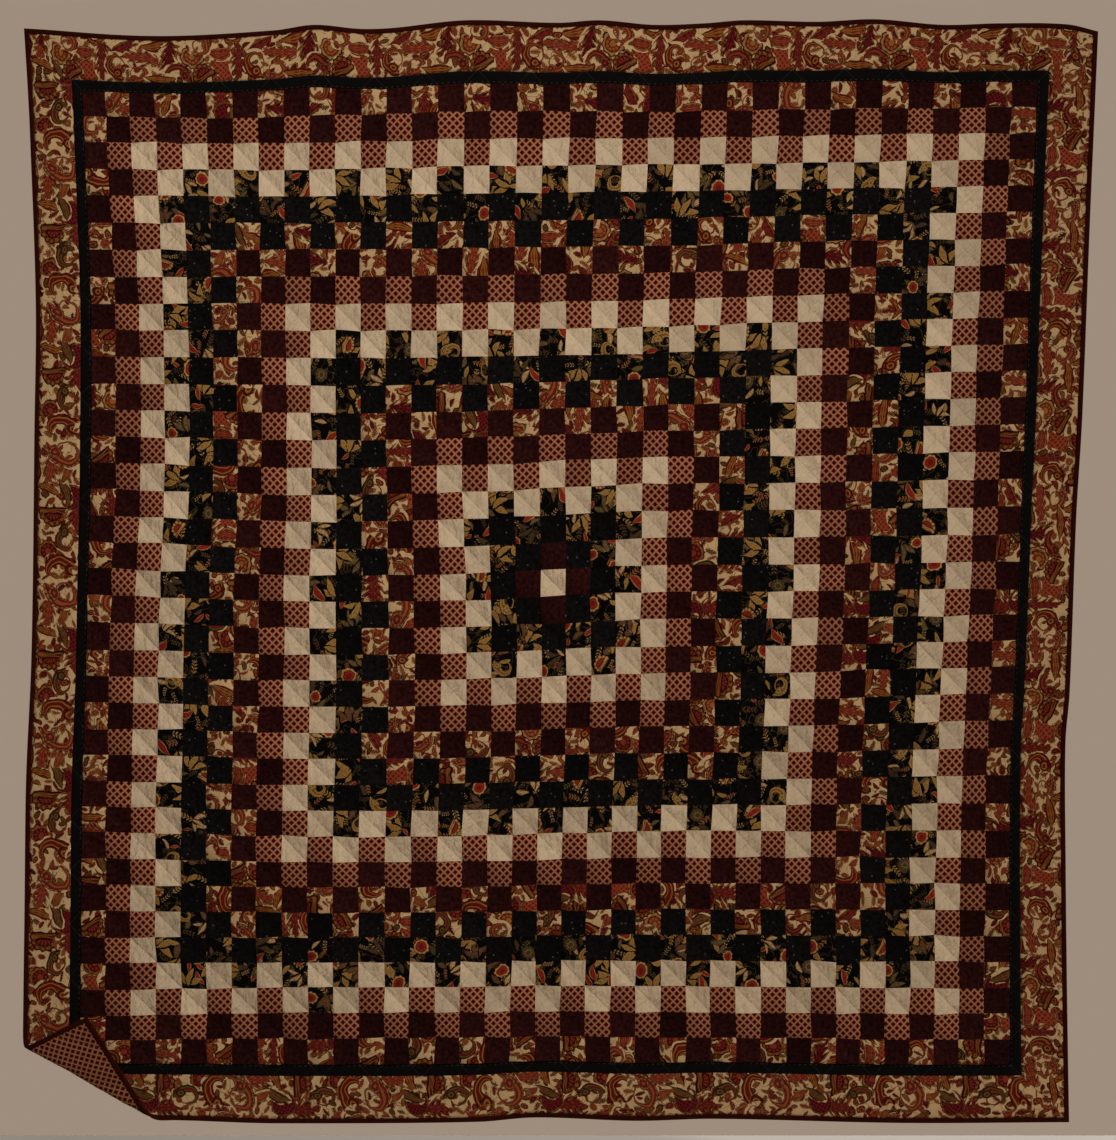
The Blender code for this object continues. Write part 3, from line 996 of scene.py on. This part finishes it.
# The row of pale stitches along the black border's inner side
stitchRow = {
    "from": 0.0035,
    "reach": (0.0005, 0.0003),
    "pitch": 0.011,
    "thread": (0.32, 0.25, 0.17),
    "share": 0.12,
    "quiltingShare": 0.3,
}


def blackBorderCloth():
    look = plainCloths["black"]
    material, cloth = newCloth("blackBorder")
    u, v, _ = parts(cloth)
    out = u.math("ABSOLUTE").math("MAXIMUM", v.math("ABSOLUTE"))
    row = near(out, fieldEdge + stitchRow["from"], *stitchRow["reach"])
    dash = above(((u + v) * (2 * math.pi / stitchRow["pitch"])).math("SINE"), 0.35, 0.2)
    base = mixed(row * dash * stitchRow["share"], look["colour"], stitchRow["thread"])
    finishCloth(cloth, base, look["wrinkles"], look["thread"], stitchRow["quiltingShare"])
    return material


def linesAlong(fineEnd):
    # shares of half a side, from end to end, closer together at the turned corner
    start = borders["cornerFrom"]
    ends = []
    for sign in (-1, 1):
        step = borders["cornerAlong"] if sign == fineEnd else borders["along"]
        ends.append(sign * np.linspace(start, 1.0, round((1.0 - start) / step)))
    return np.concatenate((ends[0][::-1], np.arange(-start, start, borders["along"])[1:], ends[1]))


def onSide(side, along, out):
    # flat places on one side, from how far along it and how far out they are
    for _ in range(sides.index(side)):
        along, out = -out, along
    return along, -out


def border(side, inner, outer, section):
    # section: share of the width and layer, as arrays from the inner edge to the outer one
    shares, layers = section
    out = inner + (outer - inner) * shares
    along = linesAlong(borders["fineEnds"].get(side, 0))
    outGrid = np.repeat(out[:, None], len(along), axis=1)
    flatAcross, flatDown = onSide(side, np.outer(out, along), outGrid)
    return flatAcross, flatDown, np.repeat(layers[:, None], len(along), axis=1)


def flatSection(steps):
    # a strip's front, its long edges turned down into the seams
    shares = np.linspace(0, 1, steps + 1)
    crown = 1 - np.abs(2 * shares - 1) ** borders["crown"]
    layers = borders["seam"] + (borders["front"] - borders["seam"]) * crown
    shares = np.concatenate(([0.0], shares, [1.0]))
    return shares, np.concatenate(([borders["hem"]], layers, [borders["hem"]]))


def makeBorders():
    paisleyOf = {}
    for side, start in borders["prints"].items():
        paisleyOf[side] = paisleyBorder(f"paisley{side.title()}", *start)
    blackBorder = blackBorderCloth()
    seamAt = innerEdge + borders["overlap"]
    for side in sides:
        for kind, inner, outer, slot, node in (
            ("inner", fieldEdge, seamAt, "black", "inner_border"),
            ("outer", seamAt, outerEdge, "paisley", "outer_border"),
        ):
            section = flatSection(borders["steps"][kind])
            across, down, layer = border(side, inner, outer, section)
            raised = layer > borders["seam"]
            swell = borders["puff"] * quilting(across, down)
            swell += borders["ripple"] * ripples(across, down, *borders["ripples"])
            layer = layer + np.where(raised, swell, 0)
            sheet = clothSheet(f"{kind}Border{side.title()}", "root", across, down, layer)
            sheet.data.materials.append(blackBorder if kind == "inner" else paisleyOf[side])
            width = outer - inner
            2 * outer
            (inner + outer) * width
            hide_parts(f"{node}_{side}")


makeBorders()
print("borders")


# The binding: a strip folded round the rim, sewn down in front and behind
bindingStrip = {
    "thick": 0.0031,
    "nose": 0.0022,
    "tuck": 0.0012,
    "shares": (0, 0.06, 0.3),  # where its front is drawn, from the seam outwards
    "shoulder": 0.86,
    "bends": 9,
    "turnedIn": 0.004,
    "pucker": 0.10,
    "puckers": (0.010, 0.03, 12, 9),
    "tones": ((0.0190, 0.0026, 0.0008), (0.0290, 0.0038, 0.0014)),
    "tonePlaces": 60.0,
    "thread": (0.1, 0.03, 0.03),
    "threadShare": 0.3,
    "wrinkles": 0.0014,
}


def bindingCloth():
    look = bindingStrip
    material, cloth = newCloth("bindingRed")
    base = mixed(noise(cloth, look["tonePlaces"], 2.0), *look["tones"])
    finishCloth(cloth, base, look["wrinkles"], look["thread"], look["threadShare"],
                quilted=False)
    return material


def bindingSection():
    # from the front seam, round the rim, to the back seam
    look = bindingStrip
    bend = 1 - look["nose"] / quilt["binding"]
    turn = np.linspace(0, math.pi, look["bends"])
    flat = look["shares"]
    shares = np.concatenate((flat, bend + (1 - bend) * np.sin(turn), flat[::-1]))
    front = np.array([look["tuck"], look["thick"] * look["shoulder"], look["thick"]])
    layers = np.concatenate((front, look["thick"] * np.cos(turn), -front[::-1]))
    return shares, layers


def makeBinding():
    look = bindingStrip
    cloth = bindingCloth()
    for side in sides:
        across, down, layer = border(side, outerEdge, rim, bindingSection())
        layer = layer * (1 + look["pucker"] * ripples(across, down, *look["puckers"]))
        sheet = clothSheet(f"binding{side.title()}", "root", across, down, layer)
        sheet.data.materials.append(cloth)
        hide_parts(f"binding_{side}")


makeBinding()
print("binding")


# The backing, quilted through, which shows on the turned corner
backing = {
    "step": 0.0102,
    "cornerStep": 0.0042,
    "cornerReach": 0.30,
    "flat": -0.0012,
    "highest": -0.0010,
    "puff": 0.0026,
    "ripple": 0.00025,
    "ripples": (0.012, 0.06, 20, 11),
}


def makeBacking():
    # closer lines of points at the turned corner, which is on the left and at the bottom
    edge = outerEdge
    coarse = np.arange(-edge, edge - backing["cornerReach"], backing["step"])
    fine = np.arange(edge - backing["cornerReach"], edge, backing["cornerStep"])
    down = np.concatenate((coarse, fine, [edge]))
    flatAcross, flatDown = np.meshgrid(-down[::-1], down)
    layer = backing["flat"] - backing["puff"] * quilting(flatAcross, flatDown)
    layer += backing["ripple"] * ripples(flatAcross, flatDown, *backing["ripples"])
    layer = np.minimum(layer, backing["highest"])
    sheet = clothSheet("backingSheet", "root", flatAcross, flatDown, layer)
    sheet.data.flip_normals()
    # its print is darkened throughout as painted shade for the turned corner
    sheet.data.materials.append(latticeCloth("latticeBacking", False))
    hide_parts("backing")


makeBacking()
print("backing")


# The floor, the light and the camera
studio = {
    "backdrop": (0.342, 0.266, 0.202),
    "ambient": 0.27,  # how much of its light falls on the cloth
    "floorDrop": 0.16,
    "floor": ((-3, -3.6), (3, -3.6), (-3, 0.55), (3, 0.55)),
    "floorColour": (0.62, 0.58, 0.52),
    "floorRoughness": 0.9,
    "lights": (  # name, kind, place, size, power, colour
        ("sideLight", "SUN", (4.1, -3.0, 1.9), math.radians(6), 1.22, (1.0, 0.97, 0.94)),
        ("topLight", "AREA", (-0.15, -2.1, 0.03), 1.5, 26.0, (1.0, 0.97, 0.93)),
        ("backLight", "AREA", (1.5, 3.4, 0.6), 2.4, 150.0, (1.0, 0.97, 0.94)),
    ),
    "camera": (-0.004, -4.5, -1.078),
    "frameWidth": 2.1985,
    "sensor": 36.0,
}


def makeBackdrop():
    # as bright as it looks for the camera, and dimmer as a light
    world = bpy.data.worlds.new("studio")
    world.use_nodes = True
    background = world.node_tree.nodes["Background"]
    background.inputs["Color"].default_value = (*studio["backdrop"], 1.0)
    seen = wired(world.node_tree, "LightPath", ())  # 1 where the camera sees it
    strength = seen * (1 - studio["ambient"]) + studio["ambient"]
    plug(world.node_tree, background.inputs["Strength"], strength)
    bpy.context.scene.world = world
    bpy.context.scene.view_settings.view_transform = "Standard"


def makeFloor():
    bpy.ops.mesh.primitive_plane_add(size=1, location=(0, 0, 0))
    floor = bpy.context.active_object
    floor.name = "floor"
    floorLevel = cadBox[0][2] - studio["floorDrop"]
    for vert, spot in zip(floor.data.vertices, studio["floor"]):
        vert.co = (*spot, floorLevel)
    material = bpy.data.materials.new("paleFloor")
    material.use_nodes = True
    shader = material.node_tree.nodes["Principled BSDF"]
    shader.inputs["Base Color"].default_value = (*studio["floorColour"], 1.0)
    shader.inputs["Roughness"].default_value = studio["floorRoughness"]
    floor.data.materials.append(material)


def makeLights():
    # each turned towards the quilt's middle
    for name, kind, spot, size, power, tint in studio["lights"]:
        bpy.ops.object.light_add(type=kind, location=spot)
        light = bpy.context.active_object
        light.name = name
        light.visible_camera = False
        if kind == "SUN":
            light.data.angle = size
        else:
            light.data.size = size
        light.data.energy = power
        light.data.color = tint
        towards = [aim - at for aim, at in zip(studio["camera"], spot)]
        towards[1] = -spot[1]
        flat = math.hypot(towards[0], towards[1])
        light.rotation_euler = (math.pi / 2 + math.atan2(towards[2], flat), 0,
                                math.atan2(-towards[0], towards[1]))


def makeCamera():
    bpy.ops.object.camera_add(location=studio["camera"], rotation=(math.pi / 2, 0, 0))
    camera = bpy.context.active_object
    camera.data.sensor_fit = "HORIZONTAL"
    camera.data.sensor_width = studio["sensor"]
    camera.data.lens = studio["sensor"] * -studio["camera"][1] / studio["frameWidth"]
    bpy.context.scene.camera = camera


makeBackdrop()
makeFloor()
makeLights()
makeCamera()
print("studio")
